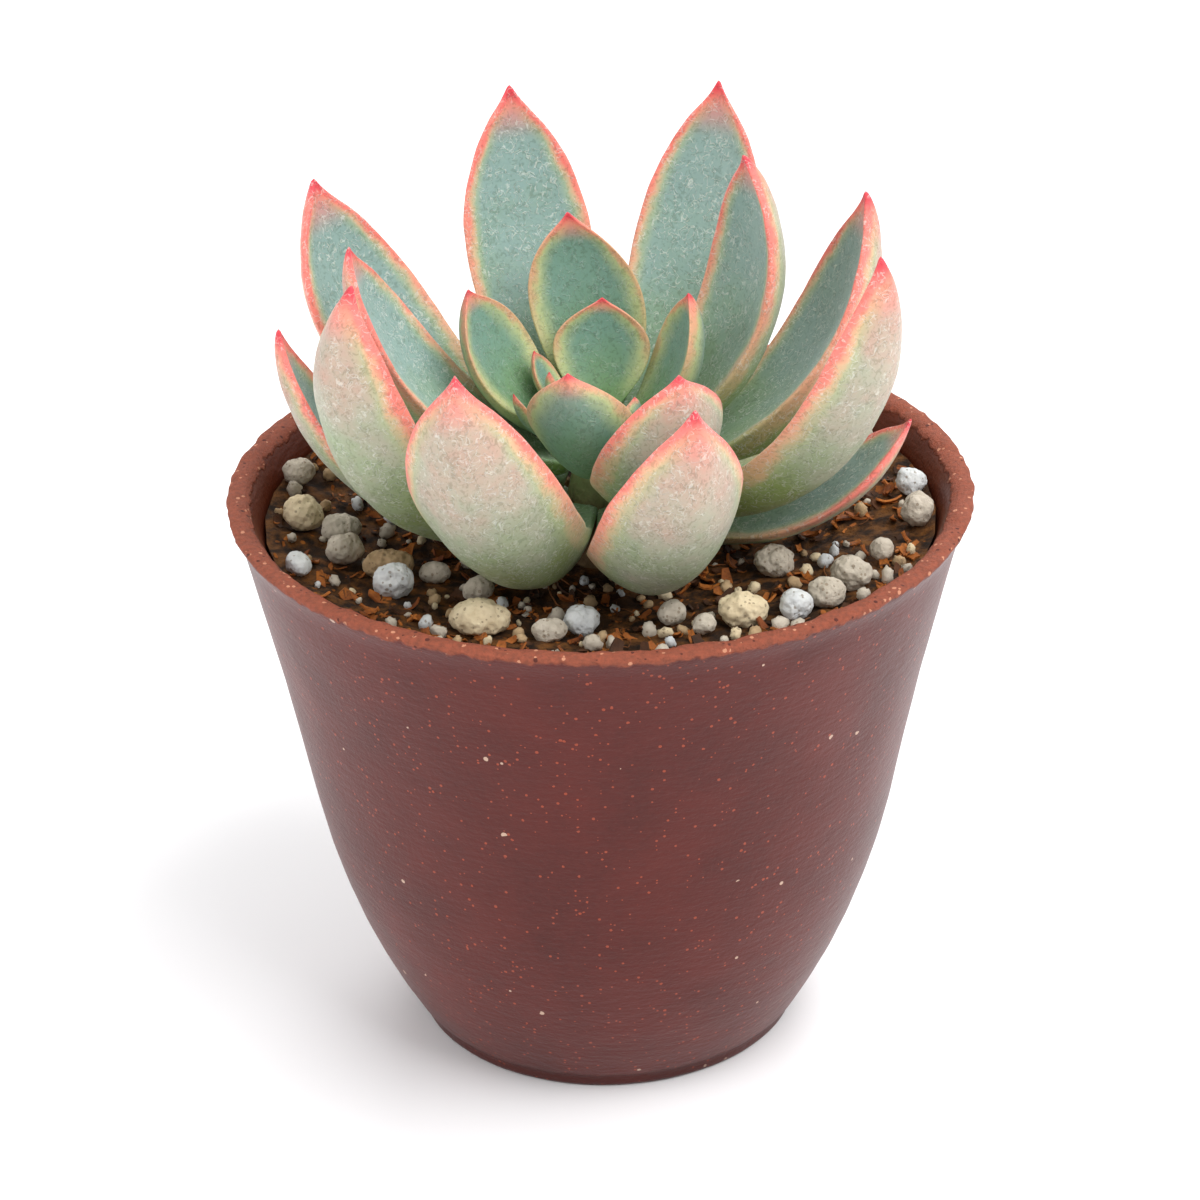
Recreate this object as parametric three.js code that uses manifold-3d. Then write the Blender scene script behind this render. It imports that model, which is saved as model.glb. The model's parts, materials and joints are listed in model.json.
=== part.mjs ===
// Potted succulent: a rosette of thick, pointed leaves on a short stem, growing in a tapered pot of
// gritty soil with loose stones on top.
// Millimetres, +Z up. The origin is the centre of the pot's foot, on the surface that it stands on.

import * as THREE from "three";
import { mergeVertices } from "three/addons/utils/BufferGeometryUtils.js";
import Module from "manifold-3d";

// ---- Driving dimensions ----------------------------------------------------------------------

const CLEARANCE = 0.3; // gap left between pieces that touch

const POT = {
  height: 63,
  rimRadius: 40,
  rimRise: 2.5, // height of the straight lip
  lipFlare: 1.3, // how far the lip leans out over its height
  edgeBevel: 0.4,
  wall: 2.3,
  bellyHeight: 28, // where the bowl ends and the straight wall begins
  bellyRadius: 31.7,
  bowlSlope: 0.62, // radius gained per millimetre of height where the bowl leaves the foot
  wallSlope: 0.205, // the same on the straight wall
  footRadius: 21,
  footHeight: 2,
  footStep: 0.7, // how far the bowl stands out over the foot
  footRingWidth: 3,
  baseRecess: 1.2, // depth of the hollow under the base
  floor: 3.2,
  drainRadius: 4.5,
  segments: 52,
};

const SOIL = {
  headspace: 3.3, // from the rim down to the soil at the wall
  dish: 4.5, // how much lower the soil is round the stem
  ripple: 0.4,
  segments: 36,
  rings: 7,
};

const STEM = {
  depth: 9, // buried length
  height: 11.6, // length above the soil at the wall
  baseRadius: 4.2,
  topRadius: 1.2,
  sides: 14,
};

// Leaves: azimuth in degrees anticlockwise from +X, seen from above. attach and tip are heights above
// the soil at the wall, reach is the tip's distance from the stem's axis, and slope is the midrib's
// angle to the horizontal where it leaves the stem. width is the blade's widest, channel is how far
// its margins curl up, as a share of the half-width, roll turns the blade about its midrib, and sway
// bends its tip sideways, in millimetres.
const LEAVES = [
  // name          azimuth attach reach tip slope width thick channel roll sway
  ["lower_leaf_1", 346, 0.2, 33.4, 14, -8, 11, 2.8, 0.12, 12, 0],
  ["lower_leaf_2", 185, 0.3, 33.3, 23, -9, 10.5, 2.8, 0.35, -6, 0],
  ["lower_leaf_3", 143, 0.4, 33.3, 13, -4, 10.5, 3, 0.35, -10, 0],
  ["lower_leaf_4", 86, 0.4, 33, 11, -4, 11, 3.2, 0.35, 0, 0],
  ["lower_leaf_5", 44, 0.4, 33, 11, -4, 11, 3.2, 0.35, 0, 0],
  ["outer_leaf_1", 333, 4.2, 32, 34.9, -3, 14.6, 4.2, 0.3, -8, 0],
  ["outer_leaf_2", 20, 3.4, 30.5, 32, 2, 14, 4.8, 0.3, -8, 0],
  ["outer_leaf_3", 64, 3.6, 31.2, 38.2, 12, 14.8, 4.8, 0.3, 0, 0],
  ["outer_leaf_4", 109, 3.6, 28, 38.6, 20, 14.6, 4.8, 0.3, 0, 0],
  ["outer_leaf_5", 159, 3.4, 31.9, 34, 9, 15.2, 4.6, 0.3, -20, 0],
  ["outer_leaf_6", 211.5, 3.2, 28.9, 32.9, -9, 14.8, 4.6, 0.3, 10, 0],
  ["outer_leaf_7", 248, 2.8, 30.3, 28.3, -14, 16, 4.8, 0.3, 13, -3],
  ["outer_leaf_8", 285, 2.6, 31.2, 25.3, -15, 15.8, 4.8, 0.3, 8, 1.4],
  ["middle_leaf_1", 27, 6.2, 17.5, 37.3, 18, 13, 4, 0.3, 0, 0],
  ["middle_leaf_2", 184, 6.2, 25.6, 31.7, 12, 13, 3.8, 0.3, -12, 0],
  ["middle_leaf_3", 296, 5.8, 18.6, 23.3, 2, 15.5, 4, 0.3, 8, 0],
  ["inner_leaf_1", 90, 8, 14, 28.8, 27, 12.5, 3.1, 0.3, 0, 3],
  ["inner_leaf_2", 165, 8.6, 14, 24.5, 24, 11, 3, 0.3, -14, 0],
  ["inner_leaf_3", 16, 8.8, 10, 24, 30, 9, 2.8, 0.3, 0, 0],
  ["inner_leaf_4", 263, 8.2, 12.5, 21.7, 10, 11.4, 3, 0.3, 0, -1.6],
  ["inner_leaf_5", 86, 10, 8, 21.4, 34, 10.5, 2.3, 0.3, 0, 0],
  ["heart_leaf_1", 190, 10.6, 5.2, 16.9, 40, 3.6, 1.4, 0.3, 0, 0],
  ["heart_leaf_2", 205, 9.6, 9.8, 15.9, 6, 3, 1.2, 0.3, 0, 0],
  ["heart_leaf_3", 280, 11, 2.6, 15.2, 55, 3, 1.3, 0.3, 0, 0],
  ["heart_leaf_4", 340, 10.5, 4, 14, 30, 4, 1.4, 0.3, 0, 0],
  ["heart_leaf_5", 154, 10.8, 7.5, 17.5, 14, 4.2, 1.2, 0.3, 0, 0],
].map(([name, azimuth, attach, reach, tip, slope, width, thick, channel, roll, sway]) => ({
  name, azimuth, attach, reach, tip, slope, width, thick, channel, roll, sway,
}));

const BASE_THICKNESS = 0.45; // where a leaf meets the stem, as a share of its thickness

// A leaf's blade: [distance along the midrib, half-width, thickness], as shares of the leaf's own
// length, half-width and thickness. It closes to a point at both ends; the last stretch is the spine.
const BLADE = [
  [0, 0, 0],
  [0, 0.2, BASE_THICKNESS],
  [0.1, 0.36, 0.68],
  [0.22, 0.6, 0.88],
  [0.36, 0.84, 1],
  [0.5, 0.97, 0.97],
  [0.62, 1, 0.88],
  [0.74, 0.91, 0.74],
  [0.84, 0.69, 0.56],
  [0.91, 0.42, 0.38],
  [0.955, 0.17, 0.22],
  [0.985, 0.05, 0.09],
  [1, 0, 0],
];
const BLADE_SIDES = 12;
const KEEL = 0.35; // how much of the underside is a straight-sided keel at the tip
const ROLL_IN = 0.3; // share of the length over which the roll comes in
const UPPER_BULGE = 0.1; // roundness of the upper face, as a share of the thickness

// Loose pumice stones on the soil: azimuth in degrees, inset from the pot's inside wall to the stone's
// middle, length, width, height, and the angle that the length is turned to.
const STONES = [
  // name    azimuth inset length width height turn
  ["stone_1", 164, 2.1, 3.2, 2.8, 2.4, 20],
  ["stone_2", 181, 4.5, 4.1, 3.7, 3.1, 70],
  ["stone_3", 184, 8.4, 3.9, 3.2, 2.4, 0],
  ["stone_4", 196, 8.1, 3.5, 3.2, 2.8, 40],
  ["stone_5", 203.5, 11.6, 5.6, 3.2, 2.4, 8],
  ["stone_6", 213, 10.3, 4.1, 3.4, 2.9, 15],
  ["stone_7", 201, 2.3, 3.2, 2.4, 1.8, 110],
  ["stone_8", 208, 16.2, 3, 2.6, 1.9, 0],
  ["stone_9", 228, 17, 3.2, 2.6, 2, 20],
  ["stone_10", 242, 9.8, 6.4, 4.4, 3.2, 5],
  ["stone_11", 258, 10.6, 3.2, 2.6, 2.2, 15],
  ["stone_12", 264.5, 13.3, 3.5, 3.1, 2.7, 60],
  ["stone_13", 288.5, 13.8, 3, 2.5, 2, 30],
  ["stone_14", 293, 9.4, 2.4, 2.2, 1.9, 0],
  ["stone_15", 303, 9.7, 4.7, 3.7, 3, 172],
  ["stone_16", 332, 15.6, 4.1, 3.5, 2.6, 25],
  ["stone_17", 312, 6.5, 3.4, 3, 2.5, 35],
  ["stone_18", 319.5, 5.9, 3.7, 3.1, 2.7, 150],
  ["stone_19", 328.5, 5.7, 4.3, 3.4, 3, 130],
  ["stone_20", 341, 5, 2.4, 2.2, 2.1, 0],
  ["stone_21", 8, 2.3, 3.1, 2.8, 2.5, 100],
  ["stone_22", 355, 2.4, 3.4, 3.1, 3.2, 80],
  ["stone_23", 31, 3.4, 3.8, 3.2, 2.7, 140],
  ["stone_24", 63, 4.2, 4.4, 3.6, 3, 10],
  ["stone_25", 112, 4.6, 4.1, 3.4, 2.8, 50],
  ["stone_26", 134, 3.1, 3.3, 2.9, 2.4, 30],
].map(([name, azimuth, inset, length, width, height, turn]) => ({
  name, azimuth, inset, length, width, height, turn,
}));
const STONE_KNOBBLE = 0.09; // how uneven a stone is, as a share of its size
const SPREADING_ROUNDS = 40; // enough for stones that crowd each other to come apart

const COLOURS = {
  pot: 0x5f2620,
  soil: 0x3a2415,
  stem: 0x8a9a6a,
  leaf: 0x9db8a4,
  heart: 0x6f9c6e,
  stone: 0xc9c2b2,
};

// ---- Solids ----------------------------------------------------------------------------------

const wasm = await Module();
wasm.setup();

function toSolid(geometry) {
  const bare = geometry.clone();
  bare.deleteAttribute("normal");
  bare.deleteAttribute("uv");
  const merged = mergeVertices(bare, 1e-4);
  const triVerts = [];
  for (let i = 0; i < merged.index.count; i += 3) {
    const corners = [0, 1, 2].map((k) => merged.index.getX(i + k));
    if (new Set(corners).size === 3) triVerts.push(...corners); // a pole's faces have merged to a line
  }
  return new wasm.Manifold(
    new wasm.Mesh({
      numProp: 3,
      vertProperties: new Float32Array(merged.attributes.position.array),
      triVerts: new Uint32Array(triVerts),
    }),
  );
}

function toGeometry(solid) {
  const { vertProperties, triVerts } = solid.getMesh();
  const geometry = new THREE.BufferGeometry();
  geometry.setAttribute("position", new THREE.BufferAttribute(vertProperties, 3));
  geometry.setIndex(new THREE.BufferAttribute(triVerts, 1));
  geometry.computeVertexNormals();
  return geometry;
}

// The same solid with its whole surface moved out by the clearance.
function grown(solid) {
  const geometry = toGeometry(solid);
  const { position, normal } = geometry.attributes;
  for (let i = 0; i < position.count; i += 1) {
    const out = new THREE.Vector3().fromBufferAttribute(normal, i).multiplyScalar(CLEARANCE);
    out.add(new THREE.Vector3().fromBufferAttribute(position, i));
    position.setXYZ(i, out.x, out.y, out.z);
  }
  return toSolid(geometry);
}

// Cuts a solid back to leave a gap round the neighbours that it runs into, and keeps the largest body
// that is left. A piece that already stands clear is not touched.
function keepClear(solid, neighbours) {
  let kept = solid;
  for (const neighbour of neighbours) {
    if (kept.intersect(neighbour).volume() > 0) kept = kept.subtract(grown(neighbour));
  }
  if (kept === solid) return solid;
  return kept.decompose().reduce((a, b) => (a.volume() > b.volume() ? a : b));
}

// Turns a lathe's profile, given as [radius, height] points up the outside, about +Z.
function turned(profile, segments) {
  const points = profile.map(([r, z]) => new THREE.Vector2(r, z));
  return new THREE.LatheGeometry(points, segments).rotateX(Math.PI / 2);
}

// ---- Pot -------------------------------------------------------------------------------------

const soilTop = POT.height - SOIL.headspace;

// The outside of the wall, from the foot's shoulder to the lip: a bowl, then a straight wall.
function wallOutline() {
  const { bellyHeight, bellyRadius, bowlSlope, wallSlope } = POT;
  const shoulder = [POT.footRadius + POT.footStep, POT.footHeight];
  const cornerHeight =
    (bellyRadius - wallSlope * bellyHeight - shoulder[0] + bowlSlope * shoulder[1]) / (bowlSlope - wallSlope);
  const corner = new THREE.Vector2(shoulder[0] + bowlSlope * (cornerHeight - shoulder[1]), cornerHeight);
  const bowl = new THREE.QuadraticBezierCurve(
    new THREE.Vector2(...shoulder),
    corner,
    new THREE.Vector2(bellyRadius, bellyHeight),
  );
  const neck = [POT.rimRadius - POT.lipFlare, POT.height - POT.rimRise];
  const middle = [(bellyRadius + neck[0]) / 2 - 0.3, (bellyHeight + neck[1]) / 2];
  return [...bowl.getPoints(6).map((p) => [p.x, p.y]), middle, neck];
}

const outline = wallOutline();

// Radius of the pot's inside at a height, a wall's thickness in from the outline.
function insideRadius(z) {
  const upper = Math.max(1, outline.findIndex((point) => point[1] >= z));
  const top = outline.at(-1);
  const [a, b] = z > top[1] ? [top, [POT.rimRadius, POT.height]] : [outline[upper - 1], outline[upper]];
  return THREE.MathUtils.mapLinear(z, a[1], b[1], a[0], b[0]) - POT.wall;
}

const floorTop = POT.baseRecess + POT.floor;
const insideHeights = outline.map((point) => point[1]).filter((z) => z > floorTop + 1);

function potGeometry() {
  const { footRadius, footRingWidth, baseRecess, edgeBevel, rimRadius, height, wall, drainRadius } = POT;
  return turned(
    [
      [drainRadius, baseRecess],
      [footRadius - footRingWidth - edgeBevel, baseRecess],
      [footRadius - footRingWidth, 0],
      [footRadius - edgeBevel, 0],
      [footRadius, edgeBevel],
      [footRadius, POT.footHeight - edgeBevel],
      ...outline,
      [rimRadius, height - edgeBevel],
      [rimRadius - edgeBevel, height],
      [rimRadius - wall, height],
      ...insideHeights.toReversed().map((z) => [insideRadius(z), z]),
      [insideRadius(floorTop), floorTop],
      [drainRadius, floorTop],
      [drainRadius, baseRecess],
    ],
    POT.segments,
  );
}

// ---- Stem and soil ---------------------------------------------------------------------------

// Radius of the stem at a height above the soil at the wall.
function stemRadius(above) {
  const share = THREE.MathUtils.clamp(above / STEM.height, 0, 1);
  return THREE.MathUtils.lerp(STEM.baseRadius, STEM.topRadius, share);
}

function stemGeometry() {
  const { depth, height, baseRadius, topRadius } = STEM;
  const profile = [
    [0, -depth],
    [baseRadius * 0.6, -depth],
    [baseRadius, -depth * 0.7],
    [baseRadius, 0],
    [topRadius, height],
    [0, height],
  ];
  return turned(profile, STEM.sides).translate(0, 0, soilTop);
}

// Height of the soil's uneven surface.
function soilHeight(x, y) {
  const out = Math.min(1, Math.hypot(x, y) / insideRadius(soilTop));
  const waves = Math.sin(0.55 * x + 1) * Math.cos(0.48 * y) + Math.sin(0.23 * x - 0.31 * y);
  return soilTop - SOIL.dish * (1 - out * out) + 0.5 * SOIL.ripple * waves * Math.sin(Math.PI * out);
}

function soilGeometry() {
  const bottom = floorTop + CLEARANCE;
  const surface = insideRadius(soilTop) - CLEARANCE;
  const sides = [bottom, ...insideHeights.filter((z) => z > bottom + 1 && z < soilTop - 1)];
  const rings = Array.from({ length: SOIL.rings + 1 }, (_, i) => [surface * (1 - i / SOIL.rings), soilTop]);
  const profile = [[0, bottom], ...sides.map((z) => [insideRadius(z) - CLEARANCE, z]), ...rings];
  const geometry = turned(profile, SOIL.segments);
  const place = geometry.attributes.position;
  for (let i = 0; i < place.count; i += 1) {
    if (place.getZ(i) > soilTop - 0.01) place.setZ(i, soilHeight(place.getX(i), place.getY(i)));
  }
  return geometry;
}

// ---- Leaves ----------------------------------------------------------------------------------

// A point on a leaf: station is a row of BLADE, and around goes once round the section, from one
// margin over the upper face to the other margin and back under the keel.
function leafPoint(leaf, [along, wide, deep], around) {
  const across = Math.cos(around);
  const halfWidth = (wide * leaf.width) / 2;
  const thick = deep * leaf.thick;
  const lens = 1 - across * across;
  const keel = KEEL * along;
  const under = (1 - keel) * lens ** 0.7 + keel * (1 - Math.abs(across));
  const face = Math.sin(around) > 0 ? UPPER_BULGE * thick * lens : -thick * under;
  const lift = leaf.channel * halfWidth * across * across + face;

  // The midrib is an arc of a circle: its slope turns evenly from the stem to the tip.
  const start = THREE.MathUtils.degToRad(leaf.slope);
  const baseDepth = BASE_THICKNESS * leaf.thick;
  const lean = Math.max(0, -Math.sin(start)) * baseDepth;
  const foot = stemRadius(leaf.attach - baseDepth) + CLEARANCE + lean;
  const chord = new THREE.Vector2(leaf.reach - foot, leaf.tip - leaf.attach);
  const turn = 2 * (chord.angle() - start);
  const radius = chord.length() / (2 * Math.sin(turn / 2));
  const slope = start + turn * along;
  const out = foot + radius * (Math.sin(slope) - Math.sin(start));
  const up = leaf.attach - radius * (Math.cos(slope) - Math.cos(start));

  const roll = THREE.MathUtils.degToRad(leaf.roll) * THREE.MathUtils.smoothstep(along, 0, ROLL_IN);
  const side = halfWidth * across * Math.cos(roll) - lift * Math.sin(roll);
  const above = halfWidth * across * Math.sin(roll) + lift * Math.cos(roll);
  return new THREE.Vector3(
    out - above * Math.sin(slope),
    side + leaf.sway * along * along,
    soilTop + up + above * Math.cos(slope),
  );
}

// A sphere's grid, with its poles at the stem and at the tip, pulled into the shape of the leaf.
function leafGeometry(leaf) {
  const bands = BLADE.length - 1;
  const geometry = new THREE.SphereGeometry(1, BLADE_SIDES, bands);
  const place = geometry.attributes.position;
  for (let i = 0; i < place.count; i += 1) {
    const station = Math.floor(i / (BLADE_SIDES + 1));
    const around = (-2 * Math.PI * (i % (BLADE_SIDES + 1))) / BLADE_SIDES;
    const point = leafPoint(leaf, BLADE[station], around);
    place.setXYZ(i, point.x, point.y, point.z);
  }
  return geometry.rotateZ(THREE.MathUtils.degToRad(leaf.azimuth));
}

// ---- Stones ----------------------------------------------------------------------------------

// Where the stones lie: each at its own place, then moved until none crowds another or the wall.
function stonePlaces() {
  const wall = insideRadius(soilTop);
  const places = STONES.map((stone) => {
    const turn = THREE.MathUtils.degToRad(stone.azimuth);
    const spot = new THREE.Vector2(wall - stone.inset, 0).rotateAround(new THREE.Vector2(), turn);
    return { spot, radius: Math.max(stone.length, stone.width) / 2 };
  });
  for (let round = 0; round < SPREADING_ROUNDS; round += 1) {
    places.forEach((one, i) => {
      for (const other of places.slice(i + 1)) {
        const between = other.spot.clone().sub(one.spot);
        const crowding = one.radius + other.radius + CLEARANCE - between.length();
        if (crowding > 0) {
          between.setLength(crowding / 2);
          one.spot.sub(between);
          other.spot.add(between);
        }
      }
      one.spot.clampLength(0, wall - CLEARANCE - one.radius);
    });
  }
  return places.map((place) => place.spot);
}

// A knobbly ball, shaped to the stone's size and lowered until it lies on the soil.
function stoneGeometry(stone, spot, seed) {
  const geometry = new THREE.IcosahedronGeometry(1, 1);
  const place = geometry.attributes.position;
  for (let i = 0; i < place.count; i += 1) {
    const [x, y, z] = [place.getX(i), place.getY(i), place.getZ(i)];
    const lumps = Math.sin(2.9 * x + 1.7 * seed) + Math.sin(3.3 * y + 2.3 * seed) * Math.cos(2.7 * z + seed);
    const size = 1 - STONE_KNOBBLE + 0.5 * STONE_KNOBBLE * lumps;
    place.setXYZ(i, x * size, y * size, z * size);
  }
  geometry.scale(stone.length / 2, stone.width / 2, stone.height / 2);
  geometry.rotateZ(THREE.MathUtils.degToRad(stone.turn)).translate(spot.x, spot.y, 0);
  let lift = -Infinity;
  for (let i = 0; i < place.count; i += 1) {
    lift = Math.max(lift, soilHeight(place.getX(i), place.getY(i)) + CLEARANCE - place.getZ(i));
  }
  return geometry.translate(0, 0, lift);
}

// ---- Assembly --------------------------------------------------------------------------------

const plant = new THREE.Group();

function addPiece(name, solid, colour, roughness) {
  const material = new THREE.MeshStandardMaterial({ color: colour, roughness, metalness: 0 });
  const mesh = new THREE.Mesh(toGeometry(solid), material);
  mesh.name = name;
  plant.add(mesh);
}

const pot = toSolid(potGeometry());
const stem = toSolid(stemGeometry());
const soil = toSolid(soilGeometry()).subtract(grown(stem));

addPiece("pot", pot, COLOURS.pot, 0.45);
addPiece("soil", soil, COLOURS.soil, 1);
addPiece("stem", stem, COLOURS.stem, 0.6);

// From the heart outwards, so that the older leaves give way to the younger ones.
const standing = [pot, soil, stem];
for (const leaf of LEAVES.toReversed()) {
  const solid = keepClear(toSolid(leafGeometry(leaf)), standing);
  addPiece(leaf.name, solid, leaf.name.startsWith("heart") ? COLOURS.heart : COLOURS.leaf, 0.55);
  standing.push(solid);
}

const spots = stonePlaces();
STONES.forEach((stone, i) => {
  const solid = keepClear(toSolid(stoneGeometry(stone, spots[i], i)), standing);
  addPiece(stone.name, solid, COLOURS.stone, 1);
  standing.push(solid);
});

export default plant;
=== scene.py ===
"""Potted succulent: a rosette of thick, pointed leaves in a small clay pot of gritty soil.

The frame gives every size and place, in metres, +Z up. Each piece is made by an operator of its own,
and the panel in the 3D view's sidebar lists them.
"""

import json
import math
import random

import bmesh
import bpy
from bpy.props import FloatProperty, FloatVectorProperty, IntProperty, PointerProperty
from mathutils import Matrix, Vector
from mathutils.bvhtree import BVHTree

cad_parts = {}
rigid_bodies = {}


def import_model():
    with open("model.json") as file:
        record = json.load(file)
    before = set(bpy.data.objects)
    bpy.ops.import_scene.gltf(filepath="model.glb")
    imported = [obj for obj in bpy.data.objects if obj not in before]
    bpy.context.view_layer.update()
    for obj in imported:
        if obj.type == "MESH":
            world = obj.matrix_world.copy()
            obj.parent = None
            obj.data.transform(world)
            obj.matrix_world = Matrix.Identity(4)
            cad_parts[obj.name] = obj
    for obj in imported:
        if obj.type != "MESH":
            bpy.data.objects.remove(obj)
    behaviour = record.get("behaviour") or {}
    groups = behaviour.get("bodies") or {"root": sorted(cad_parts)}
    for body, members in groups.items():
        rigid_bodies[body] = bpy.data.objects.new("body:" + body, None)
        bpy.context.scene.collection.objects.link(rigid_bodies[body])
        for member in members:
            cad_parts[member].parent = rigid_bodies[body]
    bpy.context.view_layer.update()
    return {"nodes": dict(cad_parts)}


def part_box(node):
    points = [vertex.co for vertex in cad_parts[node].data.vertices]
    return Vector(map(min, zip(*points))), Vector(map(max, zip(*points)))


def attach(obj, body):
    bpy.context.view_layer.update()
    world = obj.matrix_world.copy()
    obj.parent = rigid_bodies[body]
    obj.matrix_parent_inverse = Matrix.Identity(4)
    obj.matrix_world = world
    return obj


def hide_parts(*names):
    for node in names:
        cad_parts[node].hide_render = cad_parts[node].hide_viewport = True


bl_info = {
    "name": "Potted succulent",
    "version": (1, 0, 0),
    "blender": (4, 5, 0),
    "location": "3D View > Sidebar > Succulent",
    "description": "Builds a potted rosette succulent, its gritty soil and a plain stage",
    "category": "Add Mesh",
}

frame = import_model()

MM = 0.001
BODY = "root"


# ---- Colours ---------------------------------------------------------------------------------


def paint(red, green, blue):
    """A colour given in the 0 to 255 steps of a paint chart, as linear light."""
    shares = [value / 255 for value in (red, green, blue)]
    return [s / 12.92 if s <= 0.04045 else ((s + 0.055) / 1.055) ** 2.4 for s in shares]


def colour(name, description, red, green, blue):
    return FloatVectorProperty(
        name=name,
        description=description,
        subtype="COLOR",
        size=3,
        min=0,
        max=1,
        default=paint(red, green, blue),
    )


def length(name, description, millimetres):
    return FloatProperty(
        name=name, description=description, unit="LENGTH", default=millimetres * MM, min=0
    )


def share(name, description, value):
    return FloatProperty(
        name=name, description=description, subtype="FACTOR", default=value, min=0, max=1
    )


# ---- Settings --------------------------------------------------------------------------------


class LeafSettings(bpy.types.PropertyGroup):
    """Looks of the grown leaves and of the young ones in the heart"""

    smoothness: IntProperty(
        name="Smoothness", description="Subdivision of each leaf", default=3, min=1, max=4
    )
    unevenness: length("Unevenness", "Height of the leaf's soft swellings", 0.45)
    upper: colour("Upper face", "Blue-grey green of the upper face", 136, 164, 158)
    upper_base: colour("Upper base", "Green of the upper face near the stem", 128, 158, 118)
    under: colour("Underside", "Pale bloom on the underside", 170, 182, 162)
    under_base: colour("Underside base", "Yellow-green of the underside near the stem", 128, 152, 78)
    blush: colour("Blush", "Tan pink towards the tip of the underside", 202, 138, 124)
    edge: colour("Edge", "Coral pink along the margin", 238, 120, 112)
    edge_fade: colour("Edge fade", "Peach just inside the pink", 236, 178, 140)
    edge_green: colour("Inner edge", "Yellow-green between the edge and the blade", 176, 188, 134)
    tip: colour("Tip", "Deep pink of the spine", 216, 62, 76)
    edge_width: length("Edge width", "Width of the pink along the margin", 0.6)
    young_upper: colour("Young leaf", "Teal green of the inner leaves", 112, 148, 132)
    young_base: colour("Young leaf base", "Green of the inner leaves near the stem", 100, 136, 84)
    young_edge: colour("Young edge", "Pale edge of the inner leaves", 186, 192, 132)
    wax: share("Wax", "Strength of the fine lines in the wax", 0.42)


class PotSettings(bpy.types.PropertyGroup):
    """Looks of the fired clay pot"""

    turns: IntProperty(name="Turns", description="Faces round the pot", default=128, min=48, max=360)
    grain: length("Profile step", "Longest face along the pot's profile", 2.1)
    rim_wear: length("Rim wear", "How uneven the rim's top is", 0.55)
    body: colour("Body", "Red-brown clay", 88, 28, 22)
    shade: colour("Body shade", "Darker patches of the clay", 62, 19, 16)
    rim: colour("Rim", "Sandy clay where the rim is bare", 158, 84, 62)
    inside: colour("Inside", "Dark brown inside wall", 96, 42, 24)
    fleck: colour("Flecks", "Orange flecks in the clay", 150, 66, 44)


class SoilSettings(bpy.types.PropertyGroup):
    """Looks of the soil and what lies on it"""

    earth: colour("Earth", "Dark potting soil", 50, 33, 20)
    crumb: colour("Crumbs", "Lighter crumbs of soil", 122, 78, 36)
    bark: colour("Bark", "Orange-brown bark", 176, 104, 40)
    bark_dark: colour("Dark bark", "Dark brown bark", 84, 50, 26)
    crumb_height: length("Crumb height", "How uneven the soil is", 1.1)
    gravel: IntProperty(name="Gravel", description="Number of small grains", default=240, min=0)
    flakes: IntProperty(name="Bark flakes", description="Number of bark flakes", default=900, min=0)
    fibres: IntProperty(name="Fibres", description="Number of fibres", default=110, min=0)


class StoneSettings(bpy.types.PropertyGroup):
    """Looks of the pumice"""

    grey: colour("Grey", "Grey-beige pumice", 208, 198, 182)
    cream: colour("Cream", "Cream pumice", 228, 212, 178)
    white: colour("White", "Bluish-white pumice", 222, 224, 222)
    tan: colour("Tan", "Tan pumice", 198, 170, 132)
    smoothness: IntProperty(
        name="Smoothness", description="Subdivision of each stone", default=3, min=1, max=4
    )
    knobbles: length("Knobbles", "Height of the knobbles", 0.5)


class StageSettings(bpy.types.PropertyGroup):
    """Camera, floor and light"""

    place: FloatVectorProperty(
        name="Place",
        description="Where the camera stands",
        unit="LENGTH",
        subtype="XYZ",
        default=(-0.2 * MM, -405.7 * MM, 258.2 * MM),
    )
    pitch: FloatProperty(
        name="Pitch",
        description="How far the camera looks down",
        subtype="ANGLE",
        default=math.radians(27.27),
    )
    roll: FloatProperty(
        name="Roll",
        description="How far the camera is turned about its line of sight",
        subtype="ANGLE",
        default=math.radians(-0.95),
    )
    lens: FloatProperty(name="Lens", description="Focal length in millimetres", default=126.45)
    floor: colour("Floor", "Pale floor", 246, 246, 247)


# ---- Mesh work -------------------------------------------------------------------------------


def deselect_all():
    for item in bpy.context.selected_objects:
        item.select_set(False)


def pick(piece):
    """Makes a piece the only one selected, and the active one."""
    deselect_all()
    piece.select_set(True)
    bpy.context.view_layer.objects.active = piece
    return piece


def in_edit_mode(piece, work, *, everything=True, by="VERT"):
    """Runs some mesh operators on a piece in edit mode, on all of it or on what is selected."""
    pick(piece)
    modes = tuple(by == kind for kind in ("VERT", "EDGE", "FACE"))
    bpy.context.tool_settings.mesh_select_mode = modes
    bpy.ops.object.mode_set(mode="EDIT")
    if everything:
        bpy.ops.mesh.select_all(action="SELECT")
    work()
    bpy.ops.object.mode_set(mode="OBJECT")


def select_nothing(piece):
    """Clears the selection of points, edges and faces, so that some can be chosen one by one."""
    in_edit_mode(piece, lambda: bpy.ops.mesh.select_all(action="DESELECT"))


def copy_of(node, name):
    """A new piece from a frame node, its loose triangles merged into one skin."""
    piece = bpy.data.objects.new(name, frame["nodes"][node].data.copy())
    piece.data.name = name
    piece.data.materials.clear()
    bpy.context.scene.collection.objects.link(piece)

    def merge():
        bpy.ops.mesh.customdata_custom_splitnormals_clear()
        bpy.ops.mesh.remove_doubles(threshold=0.002 * MM)

    in_edit_mode(piece, merge)
    return piece


def apply_modifier(piece, kind, **settings):
    pick(piece)
    modifier = piece.modifiers.new(kind.title(), kind)
    for key, value in settings.items():
        setattr(modifier, key, value)
    bpy.ops.object.modifier_apply(modifier=modifier.name)


def subdivide(piece, levels):
    apply_modifier(piece, "SUBSURF", levels=levels, render_levels=levels)


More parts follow.
